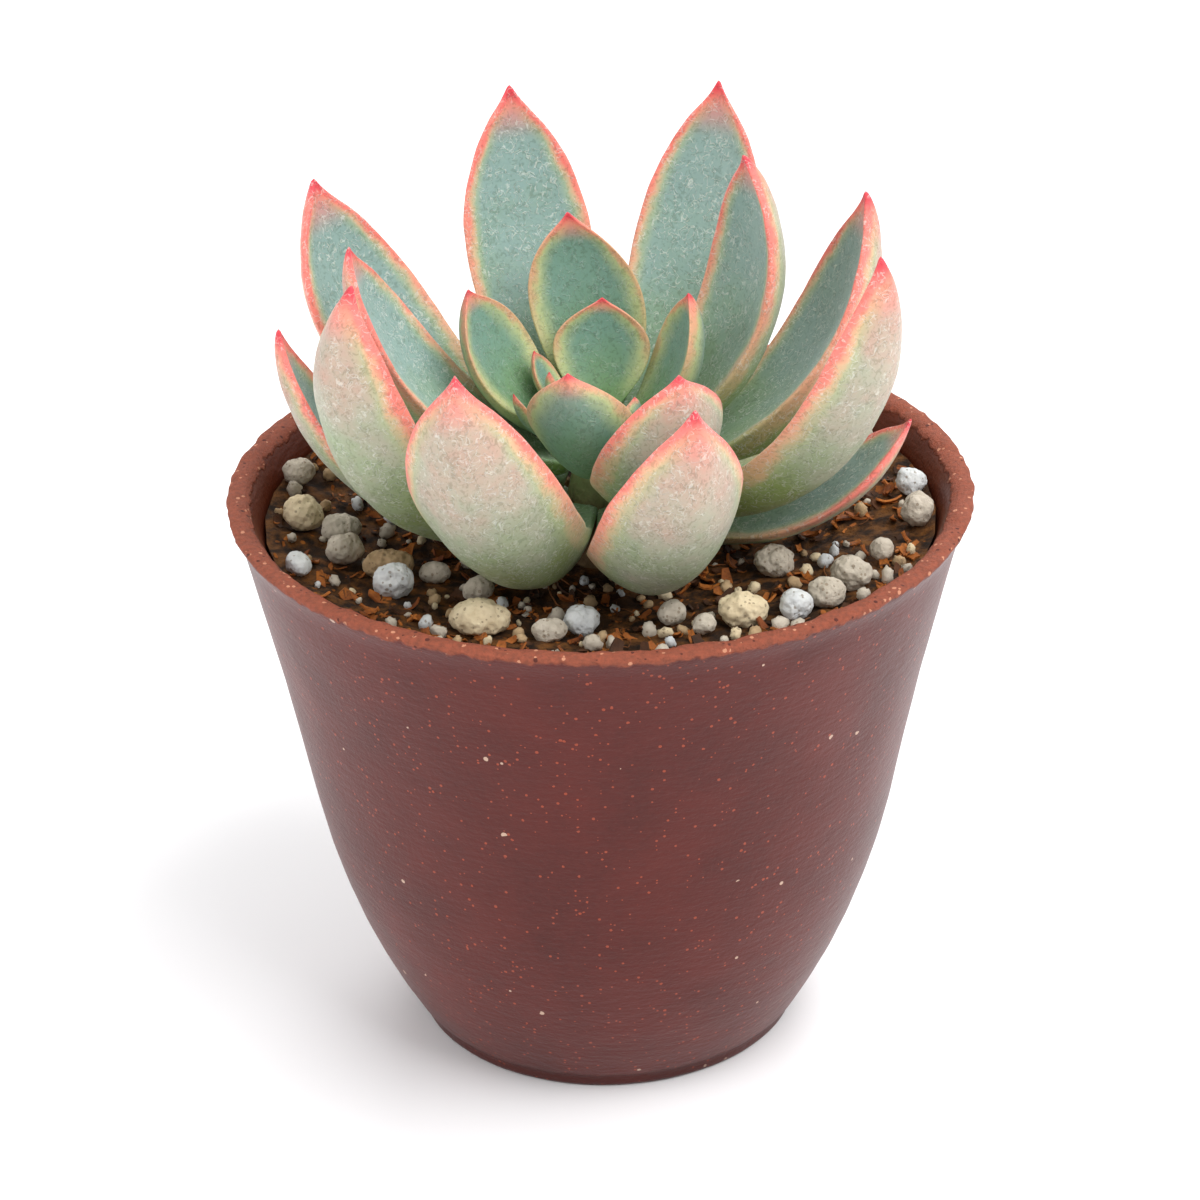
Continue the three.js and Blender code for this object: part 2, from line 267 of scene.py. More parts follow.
def roughen(piece, texture, height, group="", level=0.5):
    """Moves the surface by a texture, outwards where it is brighter than the level."""
    apply_modifier(
        piece,
        "DISPLACE",
        texture=texture,
        texture_coords="LOCAL",
        strength=height,
        mid_level=level,
        vertex_group=group,
    )


def clouds(name, size, depth=2):
    texture = bpy.data.textures.new(name, "CLOUDS")
    texture.noise_scale = size
    texture.noise_depth = depth
    return texture


def cells(name, size):
    texture = bpy.data.textures.new(name, "VORONOI")
    texture.noise_scale = size
    return texture


def smooth(piece, angle=None):
    pick(piece)
    if angle is None:
        bpy.ops.object.shade_smooth()
    else:
        bpy.ops.object.shade_smooth_by_angle(angle=math.radians(angle))


def finish_piece(piece, material, nodes=()):
    """Gives a piece its material and its body, and hides the frame nodes that it stands for."""
    piece.data.materials.clear()
    piece.data.materials.append(material)
    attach(piece, BODY)
    if nodes:
        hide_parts(*nodes)


def nodes_named(start):
    return sorted(name for name in frame["nodes"] if name.startswith(start))


def tree_of(*pieces):
    """A search tree over the faces of some pieces, whose places are in their meshes."""
    points, faces = [], []
    for piece in pieces:
        first = len(points)
        points += [vertex.co.copy() for vertex in piece.data.vertices]
        faces += [[first + i for i in face.vertices] for face in piece.data.polygons]
    return BVHTree.FromPolygons(points, faces)


# ---- Material work ---------------------------------------------------------------------------


class Graph:
    """Adds nodes to one shader tree and links them, so that a material reads from top to bottom."""

    def __init__(self, tree):
        self.tree = tree

    def add(self, kind, **settings):
        node = self.tree.nodes.new(kind)
        for key, value in settings.items():
            setattr(node, key, value)
        return node

    def feed(self, socket, value):
        if isinstance(value, bpy.types.NodeSocket):
            self.tree.links.new(value, socket)
        elif socket.type == "RGBA" and len(value) == 3:
            socket.default_value = (*value, 1)
        else:
            socket.default_value = value

    def math(self, operation, a, b=0.0):
        node = self.add("ShaderNodeMath", operation=operation)
        self.feed(node.inputs[0], a)
        self.feed(node.inputs[1], b)
        return node.outputs[0]

    def times(self, a, b):
        return self.math("MULTIPLY", a, b)

    def plus(self, a, b):
        return self.math("ADD", a, b)

    def step(self, value, low, high):
        """0 below low, 1 above high and smooth between them, or the other way round."""
        node = self.add("ShaderNodeMapRange", interpolation_type="SMOOTHSTEP")
        flip = low > high
        self.feed(node.inputs["Value"], value)
        self.feed(node.inputs["From Min"], min(low, high))
        self.feed(node.inputs["From Max"], max(low, high))
        self.feed(node.inputs["To Min"], 1.0 if flip else 0.0)
        self.feed(node.inputs["To Max"], 0.0 if flip else 1.0)
        return node.outputs["Result"]

    def mix(self, factor, a, b, blend="MIX"):
        node = self.add("ShaderNodeMix", data_type="RGBA", blend_type=blend)
        self.feed(node.inputs[0], factor)
        self.feed(node.inputs[6], a)
        self.feed(node.inputs[7], b)
        return node.outputs[2]

    def position(self):
        return self.add("ShaderNodeTexCoord").outputs["Object"]

    def height_and_radius(self):
        """The Z coordinate, and the distance from the pot's axis."""
        apart = self.add("ShaderNodeSeparateXYZ")
        self.feed(apart.inputs[0], self.position())
        x, y, z = apart.outputs
        return z, self.math("SQRT", self.math("ADD", self.math("POWER", x, 2.0), self.math("POWER", y, 2.0)))

    def noise(self, size, detail=3.0, roughness=0.5, distortion=0.0, where=None):
        """Soft noise whose features are about as large as size, in metres."""
        node = self.add("ShaderNodeTexNoise")
        self.feed(node.inputs["Vector"], where or self.position())
        self.feed(node.inputs["Scale"], 1 / size)
        self.feed(node.inputs["Detail"], detail)
        self.feed(node.inputs["Roughness"], roughness)
        self.feed(node.inputs["Distortion"], distortion)
        return node.outputs[0]

    def attribute(self, name):
        return self.add("ShaderNodeAttribute", attribute_name=name).outputs["Fac"]

    def use(self, group, **values):
        """Places a shared effect and returns its first output."""
        node = self.add("ShaderNodeGroup", node_tree=group)
        for key, value in values.items():
            self.feed(node.inputs[key], value)
        return node.outputs[0]

    def mottle(self, size, contrast):
        return self.use(mottle(), Size=size, Contrast=contrast)

    def flecks(self, size, amount):
        return self.use(flecks(), Size=size, Amount=amount)

    def bump(self, height, depth, normal=None):
        node = self.add("ShaderNodeBump")
        self.feed(node.inputs["Strength"], 1.0)
        self.feed(node.inputs["Distance"], depth)
        self.feed(node.inputs["Height"], height)
        if normal is not None:
            self.feed(node.inputs["Normal"], normal)
        return node.outputs[0]

    def cover(self, shader, base, height, depth, normal=None):
        """Gives a shader its colour, and a relief of some depth over the normal below it."""
        self.feed(shader.inputs["Base Color"], base)
        self.feed(shader.inputs["Normal"], self.bump(height, depth, normal))


def new_group(name, inputs, output):
    """An empty shared effect with float inputs and one float output, and its inputs' sockets."""
    tree = bpy.data.node_groups.new(name, "ShaderNodeTree")
    for key, value in inputs.items():
        socket = tree.interface.new_socket(key, in_out="INPUT", socket_type="NodeSocketFloat")
        socket.default_value = value
    tree.interface.new_socket(output, in_out="OUTPUT", socket_type="NodeSocketFloat")
    graph = Graph(tree)
    entry = graph.add("NodeGroupInput")
    leave = graph.add("NodeGroupOutput")
    return graph, entry.outputs, leave.inputs[0]


def wax_lines():
    """Short squiggly lines: the thin contours of a noise, broken up by a second one."""
    if "Wax lines" in bpy.data.node_groups:
        return bpy.data.node_groups["Wax lines"]
    graph, inputs, result = new_group("Wax lines", {"Size": 0.0012, "Width": 0.03}, "Lines")
    contours = graph.noise(1.0, detail=1.5, distortion=0.7)
    patches = graph.noise(1.0, detail=1.0)
    for socket, factor in ((contours, 1.0), (patches, 0.45)):
        scale = graph.math("DIVIDE", factor, inputs["Size"])
        graph.feed(socket.node.inputs["Scale"], scale)
    away = graph.math("ABSOLUTE", graph.math("SUBTRACT", contours, 0.5))
    line = graph.math("SUBTRACT", 1.0, graph.math("DIVIDE", away, inputs["Width"]))
    line = graph.math("MAXIMUM", line, 0.0)
    graph.feed(result, graph.times(line, graph.step(patches, 0.34, 0.52)))
    return graph.tree


def flecks():
    """Scattered specks: the cells whose own random number is high, drawn as small dots."""
    if "Flecks" in bpy.data.node_groups:
        return bpy.data.node_groups["Flecks"]
    graph, inputs, result = new_group("Flecks", {"Size": 0.0008, "Amount": 0.1}, "Mask")
    cell = graph.add("ShaderNodeTexVoronoi")
    graph.feed(cell.inputs["Vector"], graph.position())
    graph.feed(cell.inputs["Scale"], graph.math("DIVIDE", 1.0, inputs["Size"]))
    apart = graph.add("ShaderNodeSeparateColor")
    graph.feed(apart.inputs[0], cell.outputs["Color"])
    chosen = graph.math("GREATER_THAN", apart.outputs[0], graph.math("SUBTRACT", 1.0, inputs["Amount"]))
    width = graph.times(graph.plus(apart.outputs[1], 0.4), 0.34)
    dot = graph.math("LESS_THAN", cell.outputs["Distance"], width)
    graph.feed(result, graph.times(chosen, dot))
    return graph.tree


def mottle():
    """Soft uneven patches, from 0 to 1."""
    if "Mottle" in bpy.data.node_groups:
        return bpy.data.node_groups["Mottle"]
    graph, inputs, result = new_group("Mottle", {"Size": 0.004, "Contrast": 0.5}, "Mask")
    noise = graph.noise(1.0, detail=4.0, roughness=0.6)
    graph.feed(noise.node.inputs["Scale"], graph.math("DIVIDE", 1.0, inputs["Size"]))
    spread = graph.times(graph.math("SUBTRACT", noise, 0.5), inputs["Contrast"])
    raised = graph.plus(graph.times(spread, 4.0), 0.5)
    graph.feed(result, graph.math("MINIMUM", graph.math("MAXIMUM", raised, 0.0), 1.0))
    return graph.tree


def new_material(name, roughness, specular=0.5, sheen=0.0):
    """A material with its shader; the numbers that are the same all over are set on the shader."""
    material = bpy.data.materials.new(name)
    material.use_nodes = True
    shader = material.node_tree.nodes["Principled BSDF"]
    shader.inputs["Roughness"].default_value = roughness
    shader.inputs["Specular IOR Level"].default_value = specular
    shader.inputs["Sheen Weight"].default_value = sheen
    return material, Graph(material.node_tree), shader


# ---- Leaf finishes ---------------------------------------------------------------------------


def leaf_material(name, look):
    """Fleshy leaf: look holds the colours and sizes of this kind of leaf."""
    material, graph, shader = new_material(name, 0.5, specular=0.35, sheen=0.12)
    shader.inputs["Sheen Roughness"].default_value = 0.6
    shader.inputs["Subsurface Weight"].default_value = 0.18
    shader.inputs["Subsurface Radius"].default_value = (1.0, 0.8, 0.4)
    shader.inputs["Subsurface Scale"].default_value = 1.2 * MM
    along = graph.attribute("along")
    margin = graph.attribute("margin")
    upper = graph.step(graph.attribute("side"), -0.3, 0.25)
    drift = graph.mottle(9 * MM, 0.6)
    patches = graph.mottle(2.6 * MM, 0.7)

    # Upper face: green near the stem, blue-grey further out.
    rise = graph.plus(along, graph.times(graph.math("SUBTRACT", drift, 0.5), 0.3))
    top = graph.mix(graph.step(rise, 0.15, 0.72), look["upper_base"], look["upper"])

    # Underside: yellow-green near the stem, pale bloom, then a mottled tan pink towards the tip.
    under = graph.mix(graph.step(rise, 0.26, 0.8), look["under_base"], look["under"])
    uneven = graph.plus(0.6, graph.times(patches, 0.4))
    blush = graph.times(graph.step(rise, 0.5, 1.02), uneven)
    blush = graph.times(blush, look["blush_share"])
    under = graph.mix(blush, under, look["blush"])

    body = graph.mix(upper, under, top)
    wide = look["edge_width"]
    wander = graph.plus(graph.times(drift, 0.9), graph.times(patches, 0.7))
    inside = graph.plus(margin, graph.times(graph.math("SUBTRACT", wander, 0.8), wide))
    pink = graph.times(graph.step(along, 0.3, 0.85), look["edge_share"])
    young_end = graph.step(along, 0.12, 0.5)

    def band(low, high, strength):
        """1 along the margin, fading out between two distances from it, and weak near the stem."""
        strength = graph.times(young_end, strength)
        return graph.times(graph.step(inside, high, low), strength)

    body = graph.mix(band(1.1 * wide, 3.6 * wide, 0.55), body, look["edge_green"])
    body = graph.mix(band(0.7 * wide, 1.9 * wide, 0.65), body, look["edge_fade"])
    body = graph.mix(band(0.2 * wide, 1.15 * wide, pink), body, look["edge"])
    body = graph.mix(graph.times(graph.step(along, 0.86, 0.98), 0.8), body, look["edge"])
    body = graph.mix(graph.step(along, 0.95, 0.995), body, look["tip"])

    lines = graph.use(wax_lines(), Size=look["line_size"], Width=0.035)
    fine = graph.noise(0.35 * MM, detail=2.0)
    gaps = graph.times(graph.step(graph.noise(0.55 * MM, 2.0, distortion=1.2), 0.5, 0.66), 0.3)
    body = graph.mix(gaps, body, paint(118, 132, 96), "MULTIPLY")
    body = graph.mix(graph.times(lines, look["wax"]), body, paint(236, 238, 230))
    body = graph.mix(0.12, body, graph.mix(fine, paint(90, 90, 80), paint(255, 255, 250)), "SOFT_LIGHT")
    relief = graph.plus(graph.times(lines, 0.7), graph.times(fine, 0.3))
    graph.cover(shader, body, relief, 0.05 * MM)
    roughness = graph.plus(0.42, graph.times(patches, 0.16))
    graph.feed(shader.inputs["Roughness"], roughness)
    return material


def grown_leaf_look(settings):
    return {
        "upper": settings.upper,
        "upper_base": settings.upper_base,
        "under": settings.under,
        "under_base": settings.under_base,
        "blush": settings.blush,
        "blush_share": 0.8,
        "edge": settings.edge,
        "edge_fade": settings.edge_fade,
        "edge_green": settings.edge_green,
        "edge_share": 0.95,
        "edge_width": settings.edge_width,
        "tip": settings.tip,
        "wax": settings.wax,
        "line_size": 0.8 * MM,
    }


def young_leaf_look(settings, edge_width, edge_share):
    look = grown_leaf_look(settings)
    look.update(
        upper=settings.young_upper,
        upper_base=settings.young_base,
        under=settings.young_upper,
        under_base=settings.young_base,
        blush_share=0.15,
        edge_fade=settings.young_edge,
        edge_green=settings.young_edge,
        edge_width=edge_width,
        edge_share=edge_share,
        wax=0.12,
    )
    return look


# ---- Leaf shapes -----------------------------------------------------------------------------

LEAF_SIDES = 12
RING_EDGES = 7  # the most edges that meet at a point of a ring; more meet at the two ends


def leaf_rings(mesh):
    """A leaf's rings of points from the stem to the tip, each from one margin over the upper face.

    The first and the last ring are the single points that close the leaf."""
    work = bmesh.new()
    work.from_mesh(mesh)
    poles = [v for v in work.verts if len(v.link_edges) > RING_EDGES]
    base, tip = sorted(poles, key=lambda v: v.co.z)
    rings, seen = [[tip]], {tip}
    while rings[-1] != [base]:
        ring = {e.other_vert(v) for v in rings[-1] for e in v.link_edges} - seen
        seen |= ring
        rings.append(sorted(ring, key=lambda v: v.index))  # a set has no fixed order
    rings.reverse()
    reach = tip.co - base.co
    sideways = Vector((-reach.y, reach.x, 0)).normalized()
    centres = [sum((v.co for v in ring), Vector()) / len(ring) for ring in rings]
    ordered = [[base.index]]
    for i in range(1, len(rings) - 1):
        members = set(rings[i])
        upward = (centres[i + 1] - centres[i - 1]).cross(sideways)
        at = max(rings[i], key=lambda v: v.co.dot(sideways))
        loop = [at]
        members.discard(at)
        while members:
            near = [e.other_vert(at) for e in at.link_edges if e.other_vert(at) in members]
            if len(loop) == 1:
                near = [v for v in near if (v.co - at.co).dot(upward) > 0] or near
            at = min(near, key=lambda v: (v.co - at.co).length)
            loop.append(at)
            members.discard(at)
        ordered.append([v.index for v in loop])
    ordered.append([tip.index])
    work.free()
    return ordered, centres


def mark_leaf(mesh):
    """Selects a leaf's diagonal edges, to be dissolved into a clean grid, creases its margins and tip, and
    marks where each point lies on the blade.
    """
    rings, centres = leaf_rings(mesh)
    steps = [0.0]
    for a, b in zip(centres, centres[1:]):
        steps.append(steps[-1] + (b - a).length)
    count = len(mesh.vertices)
    along, side, margin = [0.0] * count, [0.0] * count, [0.0] * count
    place = {}
    for r, ring in enumerate(rings):
        for j, index in enumerate(ring):
            place[index] = (r, j)
            along[index] = steps[r] / steps[-1]
            if len(ring) == LEAF_SIDES:
                turn = 2 * math.pi * j / LEAF_SIDES
                far_edge = mesh.vertices[ring[LEAF_SIDES // 2]].co
                half_width = (mesh.vertices[ring[0]].co - far_edge).length / 2
                side[index] = math.sin(turn)
                margin[index] = half_width * (1 - abs(math.cos(turn)))
    for name, values in (("along", along), ("side", side), ("margin", margin)):
        mesh.attributes.new(name, "FLOAT", "POINT").data.foreach_set("value", values)

    last = len(rings) - 1
    margins = (0, LEAF_SIDES // 2)
    creases = []
    for edge in mesh.edges:
        (ra, ja), (rb, jb) = (place[i] for i in edge.vertices)
        edge.select = ra != rb and ja != jb and min(ra, rb) > 0 and max(ra, rb) < last
        on_margin = ja == jb and ja in margins and 1 < min(ra, rb) and max(ra, rb) < last
        creases.append(0.45 if on_margin else 0.0)
    mesh.attributes.new("crease_edge", "FLOAT", "EDGE").data.foreach_set("value", creases)
    points = [0.0] * count
    points[rings[-1][0]] = 1.0
    mesh.attributes.new("crease_vert", "FLOAT", "POINT").data.foreach_set("value", points)


def make_leaf(node, material, unevenness, levels):
    """One leaf: the frame's leaf with a clean grid, rounded, and made a little uneven."""
    piece = copy_of(node, node + "_blade")
    select_nothing(piece)
    mark_leaf(piece.data)
    in_edit_mode(
        piece, lambda: bpy.ops.mesh.dissolve_edges(use_verts=False), everything=False, by="EDGE"
    )
    subdivide(piece, levels)
    swell = bpy.data.textures.get("Leaf swell") or clouds("Leaf swell", 7 * MM)
    roughen(piece, swell, unevenness, level=0.1)
    smooth(piece)
    finish_piece(piece, material, [node])
    return piece


def grow(context, starts, name, look, calm=1.0):
    """Makes every leaf whose node starts with one of the names; a calm below 1 evens them out."""
    settings = context.scene.succulent_leaf
    material = leaf_material(name, look)
    for start in starts:
        for node in nodes_named(start):
            make_leaf(node, material, calm * settings.unevenness, settings.smoothness)
    return {"FINISHED"}


class SUCCULENT_OT_grown_leaves(bpy.types.Operator):
    """Grows the lower, outer and middle leaves, with pink edges and tips"""

    bl_idname = "succulent.grown_leaves"
    bl_label = "Grown leaves"

    def execute(self, context):
        look = grown_leaf_look(context.scene.succulent_leaf)
        starts = ("lower_leaf", "outer_leaf", "middle_leaf")
        return grow(context, starts, "Grown leaf", look)


class SUCCULENT_OT_inner_leaves(bpy.types.Operator):
    """Grows the smoother, greener leaves round the heart"""

    bl_idname = "succulent.inner_leaves"
    bl_label = "Inner leaves"

    def execute(self, context):
        look = young_leaf_look(context.scene.succulent_leaf, 0.7 * MM, 0.5)
        return grow(context, ["inner_leaf"], "Inner leaf", look, calm=0.5)


class SUCCULENT_OT_heart_leaves(bpy.types.Operator):
    """Grows the small young leaves in the heart of the rosette"""

    bl_idname = "succulent.heart_leaves"
    bl_label = "Heart leaves"

    def execute(self, context):
        look = young_leaf_look(context.scene.succulent_leaf, 0.35 * MM, 0.6)
        return grow(context, ["heart_leaf"], "Heart leaf", look, calm=0.2)


class SUCCULENT_OT_stem(bpy.types.Operator):
    """Makes the short fleshy stem, ringed with the scars of old leaves"""

    bl_idname = "succulent.stem"
    bl_label = "Stem"

    def execute(self, context):
        material, graph, shader = new_material("Stem", 0.7)
        z, _ = graph.height_and_radius()
        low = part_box("stem")[1].z - 14 * MM
        green = graph.step(z, low, low + 9 * MM)
        patches = graph.mottle(1.6 * MM, 0.8)
        body = graph.mix(green, paint(122, 96, 62), paint(150, 164, 110))
        body = graph.mix(graph.times(patches, 0.35), body, paint(96, 78, 52))
        graph.cover(shader, body, patches, 0.2 * MM)
        piece = copy_of("stem", "stem_flesh")
        in_edit_mode(piece, lambda: bpy.ops.mesh.tris_convert_to_quads())
        in_edit_mode(piece, lambda: bpy.ops.mesh.subdivide(number_cuts=4))
        roughen(piece, clouds("Stem scars", 1.8 * MM), 0.35 * MM)
        smooth(piece, 60)
        finish_piece(piece, material, ["stem"])
        return {"FINISHED"}


# ---- Pot -------------------------------------------------------------------------------------


def pot_material(settings, rim_top):
    """Satin red-brown clay with orange flecks, bare and sandy on the rim, dark inside, with painted shade at
    the foot.
    """
    material, graph, shader = new_material("Fired clay", 0.36, specular=0.26)
    z, _ = graph.height_and_radius()
    patches = graph.mottle(11 * MM, 0.5)
    fine = graph.noise(0.5 * MM, detail=4.0, roughness=0.65)
    body = graph.mix(patches, settings.shade, settings.body)
    body = graph.mix(graph.times(fine, 0.35), body, paint(112, 48, 40))
    body = graph.mix(graph.flecks(0.4 * MM, 0.08), body, settings.fleck)
    body = graph.mix(graph.flecks(0.8 * MM, 0.006), body, paint(190, 160, 140))

    inside = graph.attribute("inside")
    body = graph.mix(graph.step(inside, 0.3, 0.7), body, settings.inside)

    wander = graph.times(graph.math("SUBTRACT", graph.noise(1.6 * MM, 4.0), 0.5), 1.6 * MM)
    bare = graph.step(graph.plus(z, wander), rim_top - 1.0 * MM, rim_top - 0.55 * MM)
    sand = graph.mix(graph.mottle(0.6 * MM, 0.9), paint(134, 74, 56), settings.rim)
    sand = graph.mix(graph.flecks(0.55 * MM, 0.16), sand, paint(206, 142, 112))
    sand = graph.mix(graph.flecks(0.6 * MM, 0.1), sand, paint(92, 46, 38))
    body = graph.mix(bare, body, sand)
    # Painted shade: the bottom of the pot, where it meets the floor, is darkened.
    painted_foot_shade = graph.step(z, 2.4 * MM, 1.6 * MM)
    body = graph.mix(graph.times(painted_foot_shade, 0.45), body, paint(58, 26, 22))
    roughness = graph.plus(0.3, graph.times(fine, 0.14))
    graph.feed(shader.inputs["Roughness"], graph.plus(roughness, graph.times(bare, 0.4)))
    stretched = graph.add("ShaderNodeMapping")
    graph.feed(stretched.inputs["Vector"], graph.position())
    graph.feed(stretched.inputs["Scale"], (0.5, 0.5, 1.6))
    streaks = graph.noise(0.9 * MM, detail=3.0, where=stretched.outputs[0])
    height = graph.plus(graph.times(streaks, 0.6), graph.times(fine, 0.4))
    first = graph.bump(height, 0.14 * MM)
    grit = graph.times(bare, graph.noise(0.35 * MM, detail=4.0, roughness=0.7))
    graph.cover(shader, body, grit, 0.3 * MM, first)
    return material


class SUCCULENT_OT_pot(bpy.types.Operator):
    """Turns the pot from the frame's profile, with a worn rim"""

    bl_idname = "succulent.pot"
    bl_label = "Pot"

    def execute(self, context):
        settings = context.scene.succulent_pot
        piece = copy_of("pot", "pot_clay")
        select_nothing(piece)
        mesh = piece.data
        on_line = [abs(v.co.x) < 0.01 * MM and v.co.y < 0 for v in mesh.vertices]
        for vertex, keep in zip(mesh.vertices, on_line):
            vertex.select = not keep
        in_edit_mode(piece, lambda: bpy.ops.mesh.delete(type="VERT"), everything=False)
        self.even_out(piece, settings.grain)

        def turn():
            bpy.ops.mesh.spin(
                steps=settings.turns,
                angle=2 * math.pi,
                center=(0, 0, 0),
                axis=(0, 0, 1),
            )
            bpy.ops.mesh.select_all(action="SELECT")
            bpy.ops.mesh.remove_doubles(threshold=0.002 * MM)
            bpy.ops.mesh.normals_make_consistent(inside=False)

        in_edit_mode(piece, turn)
        rim_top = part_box("pot")[1].z
        self.mark(piece, rim_top)
        subdivide(piece, 1)
        roughen(piece, clouds("Pot waves", 16 * MM), 0.25 * MM)
        roughen(piece, clouds("Rim wear", 2.2 * MM, 3), settings.rim_wear, "rim")
        roughen(piece, cells("Rim chips", 1.3 * MM), 0.7 * settings.rim_wear, "rim")
        smooth(piece, 50)
        finish_piece(piece, pot_material(settings, rim_top), ["pot"])
        return {"FINISHED"}

    @staticmethod
    def even_out(piece, longest):
        """Cuts the profile's long edges, so that rounding stays close to the corners."""
        mesh = piece.data

        def long_edges():
            """Selects the edges that are too long, and counts them."""
            select_nothing(piece)
            for edge in mesh.edges:
                a, b = (mesh.vertices[i].co for i in edge.vertices)
                edge.select = (a - b).length > longest
            return sum(edge.select for edge in mesh.edges)

        while long_edges():
            in_edit_mode(
                piece, lambda: bpy.ops.mesh.subdivide(number_cuts=1), everything=False, by="EDGE"
            )

    @staticmethod
    def mark(piece, rim_top):
        """Marks the inside wall for its colour, and the rim for its wear."""
        mesh = piece.data
        inside = []
        rim = piece.vertex_groups.new(name="rim")
        for vertex in mesh.vertices:
            outward = vertex.normal.dot(Vector((vertex.co.x, vertex.co.y, 0)).normalized())
            above_floor = vertex.co.z > 4 * MM
            inside.append(1.0 if outward < -0.4 and above_floor else 0.0)
            wear = 1 - (rim_top - vertex.co.z) / (1.6 * MM)
            rim.add([vertex.index], min(max(wear, 0.0), 1.0), "REPLACE")
        mesh.attributes.new("inside", "FLOAT", "POINT").data.foreach_set("value", inside)


# ---- Soil and what lies on it ----------------------------------------------------------------


def soil_material(settings):
    """Dark, damp potting soil with lighter crumbs."""
    material, graph, shader = new_material("Soil", 0.9, specular=0.25)
    patches = graph.mottle(1.5 * MM, 0.9)
    body = graph.mix(patches, settings.earth, settings.crumb)
    grit = graph.flecks(0.9 * MM, 0.12)
    body = graph.mix(grit, body, settings.bark)
    dark = graph.step(graph.noise(3.0 * MM, detail=4.0), 0.62, 0.38)
    body = graph.mix(graph.times(dark, 0.7), body, paint(28, 18, 12))
    graph.cover(shader, body, graph.noise(0.6 * MM, 5.0, 0.7), 0.5 * MM)
    return material


def pumice_material(name, base, shade):
    """Dry pumice: pale, pitted and a little stained, with painted shade in the pits."""
    material, graph, shader = new_material(name, 0.92, specular=0.25)
    patches = graph.mottle(1.4 * MM, 0.6)
    body = graph.mix(graph.times(patches, 0.6), base, shade)
    pits = graph.flecks(0.42 * MM, 0.3)
    # Painted shade: the pits are darkened.
    body = graph.mix(graph.times(pits, 0.6), body, paint(128, 110, 88))
    grain = graph.noise(0.3 * MM, detail=4.0, roughness=0.7)
    relief = graph.math("SUBTRACT", grain, graph.times(pits, 0.8))
    graph.cover(shader, body, relief, 0.16 * MM)
    return material


def pumice_materials(settings):
    """The four kinds of pumice, made once."""
    kinds = {
        "grey": (settings.grey, paint(150, 140, 122)),
        "cream": (settings.cream, paint(186, 164, 128)),
        "white": (settings.white, paint(176, 180, 184)),
        "tan": (settings.tan, paint(138, 110, 78)),
    }
    made = {}
    for kind, (base, shade) in kinds.items():
        name = "Pumice " + kind
        made[kind] = bpy.data.materials.get(name) or pumice_material(name, base, shade)
    return made


def bark_material(name, light, dark):
    material, graph, shader = new_material(name, 0.75, specular=0.3)
    grain = graph.noise(0.8 * MM, detail=4.0, roughness=0.6, distortion=0.8)
    patches = graph.mottle(3.0 * MM, 0.9)
    body = graph.mix(patches, dark, light)
    body = graph.mix(graph.step(grain, 0.5, 0.75), body, paint(58, 34, 18))
    graph.cover(shader, body, grain, 0.15 * MM)
    return material


class SUCCULENT_OT_soil(bpy.types.Operator):
    """Makes the crumbly soil that fills the pot"""

    bl_idname = "succulent.soil"
    bl_label = "Soil"

    def execute(self, context):
        settings = context.scene.succulent_soil
        piece = copy_of("soil", "soil_crumb")
        in_edit_mode(piece, lambda: bpy.ops.mesh.tris_convert_to_quads())
        select_nothing(piece)
        mesh = piece.data
        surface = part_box("soil")[1].z - 7 * MM
        for face in mesh.polygons:
            face.select = face.normal.z > 0.7 and face.center.z > surface
        in_edit_mode(
            piece,
            lambda: bpy.ops.mesh.subdivide(number_cuts=9, quadcorner="INNERVERT"),
            everything=False,
            by="FACE",
        )
        top = piece.vertex_groups.new(name="top")
        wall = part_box("soil")[1].x
        for vertex in piece.data.vertices:
            clear = wall - math.hypot(vertex.co.x, vertex.co.y)
            weight = min(1.0, clear / (1.2 * MM)) if vertex.co.z > surface else 0.0
            top.add([vertex.index], max(weight, 0.0), "REPLACE")
        roughen(piece, clouds("Soil lumps", 4.5 * MM, 3), settings.crumb_height, "top")
        roughen(piece, cells("Soil crumbs", 1.6 * MM), 0.5 * settings.crumb_height, "top")
        smooth(piece, 50)
        finish_piece(piece, soil_material(settings), ["soil"])
        return {"FINISHED"}


class SUCCULENT_OT_stones(bpy.types.Operator):
    """Makes the larger pumice stones, knobbly and pitted, in four tints"""

    bl_idname = "succulent.stones"
    bl_label = "Stones"

    TINTS = {"stone_5": "tan", "stone_6": "white", "stone_10": "cream", "stone_15": "cream"}
    CYCLE = ("grey", "cream", "grey", "white", "grey")

    def execute(self, context):
        settings = context.scene.succulent_stone
        materials = pumice_materials(settings)
        for i, node in enumerate(nodes_named("stone")):
            tint = self.TINTS.get(node, self.CYCLE[i % len(self.CYCLE)])
            piece = copy_of(node, node + "_pumice")
            subdivide(piece, settings.smoothness)
            low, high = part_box(node)
            size = (high - low).length / math.sqrt(3)
            knobbles = min(settings.knobbles, 0.16 * size)
            lumps = bpy.data.textures.get("Pumice lumps") or clouds("Pumice lumps", 1.5 * MM, 3)
            pits = bpy.data.textures.get("Pumice pits") or cells("Pumice pits", 0.7 * MM)
            roughen(piece, lumps, 1.9 * knobbles, level=0.0)
            roughen(piece, pits, 0.5 * knobbles)
            smooth(piece)
            finish_piece(piece, materials[tint], [node])
        return {"FINISHED"}


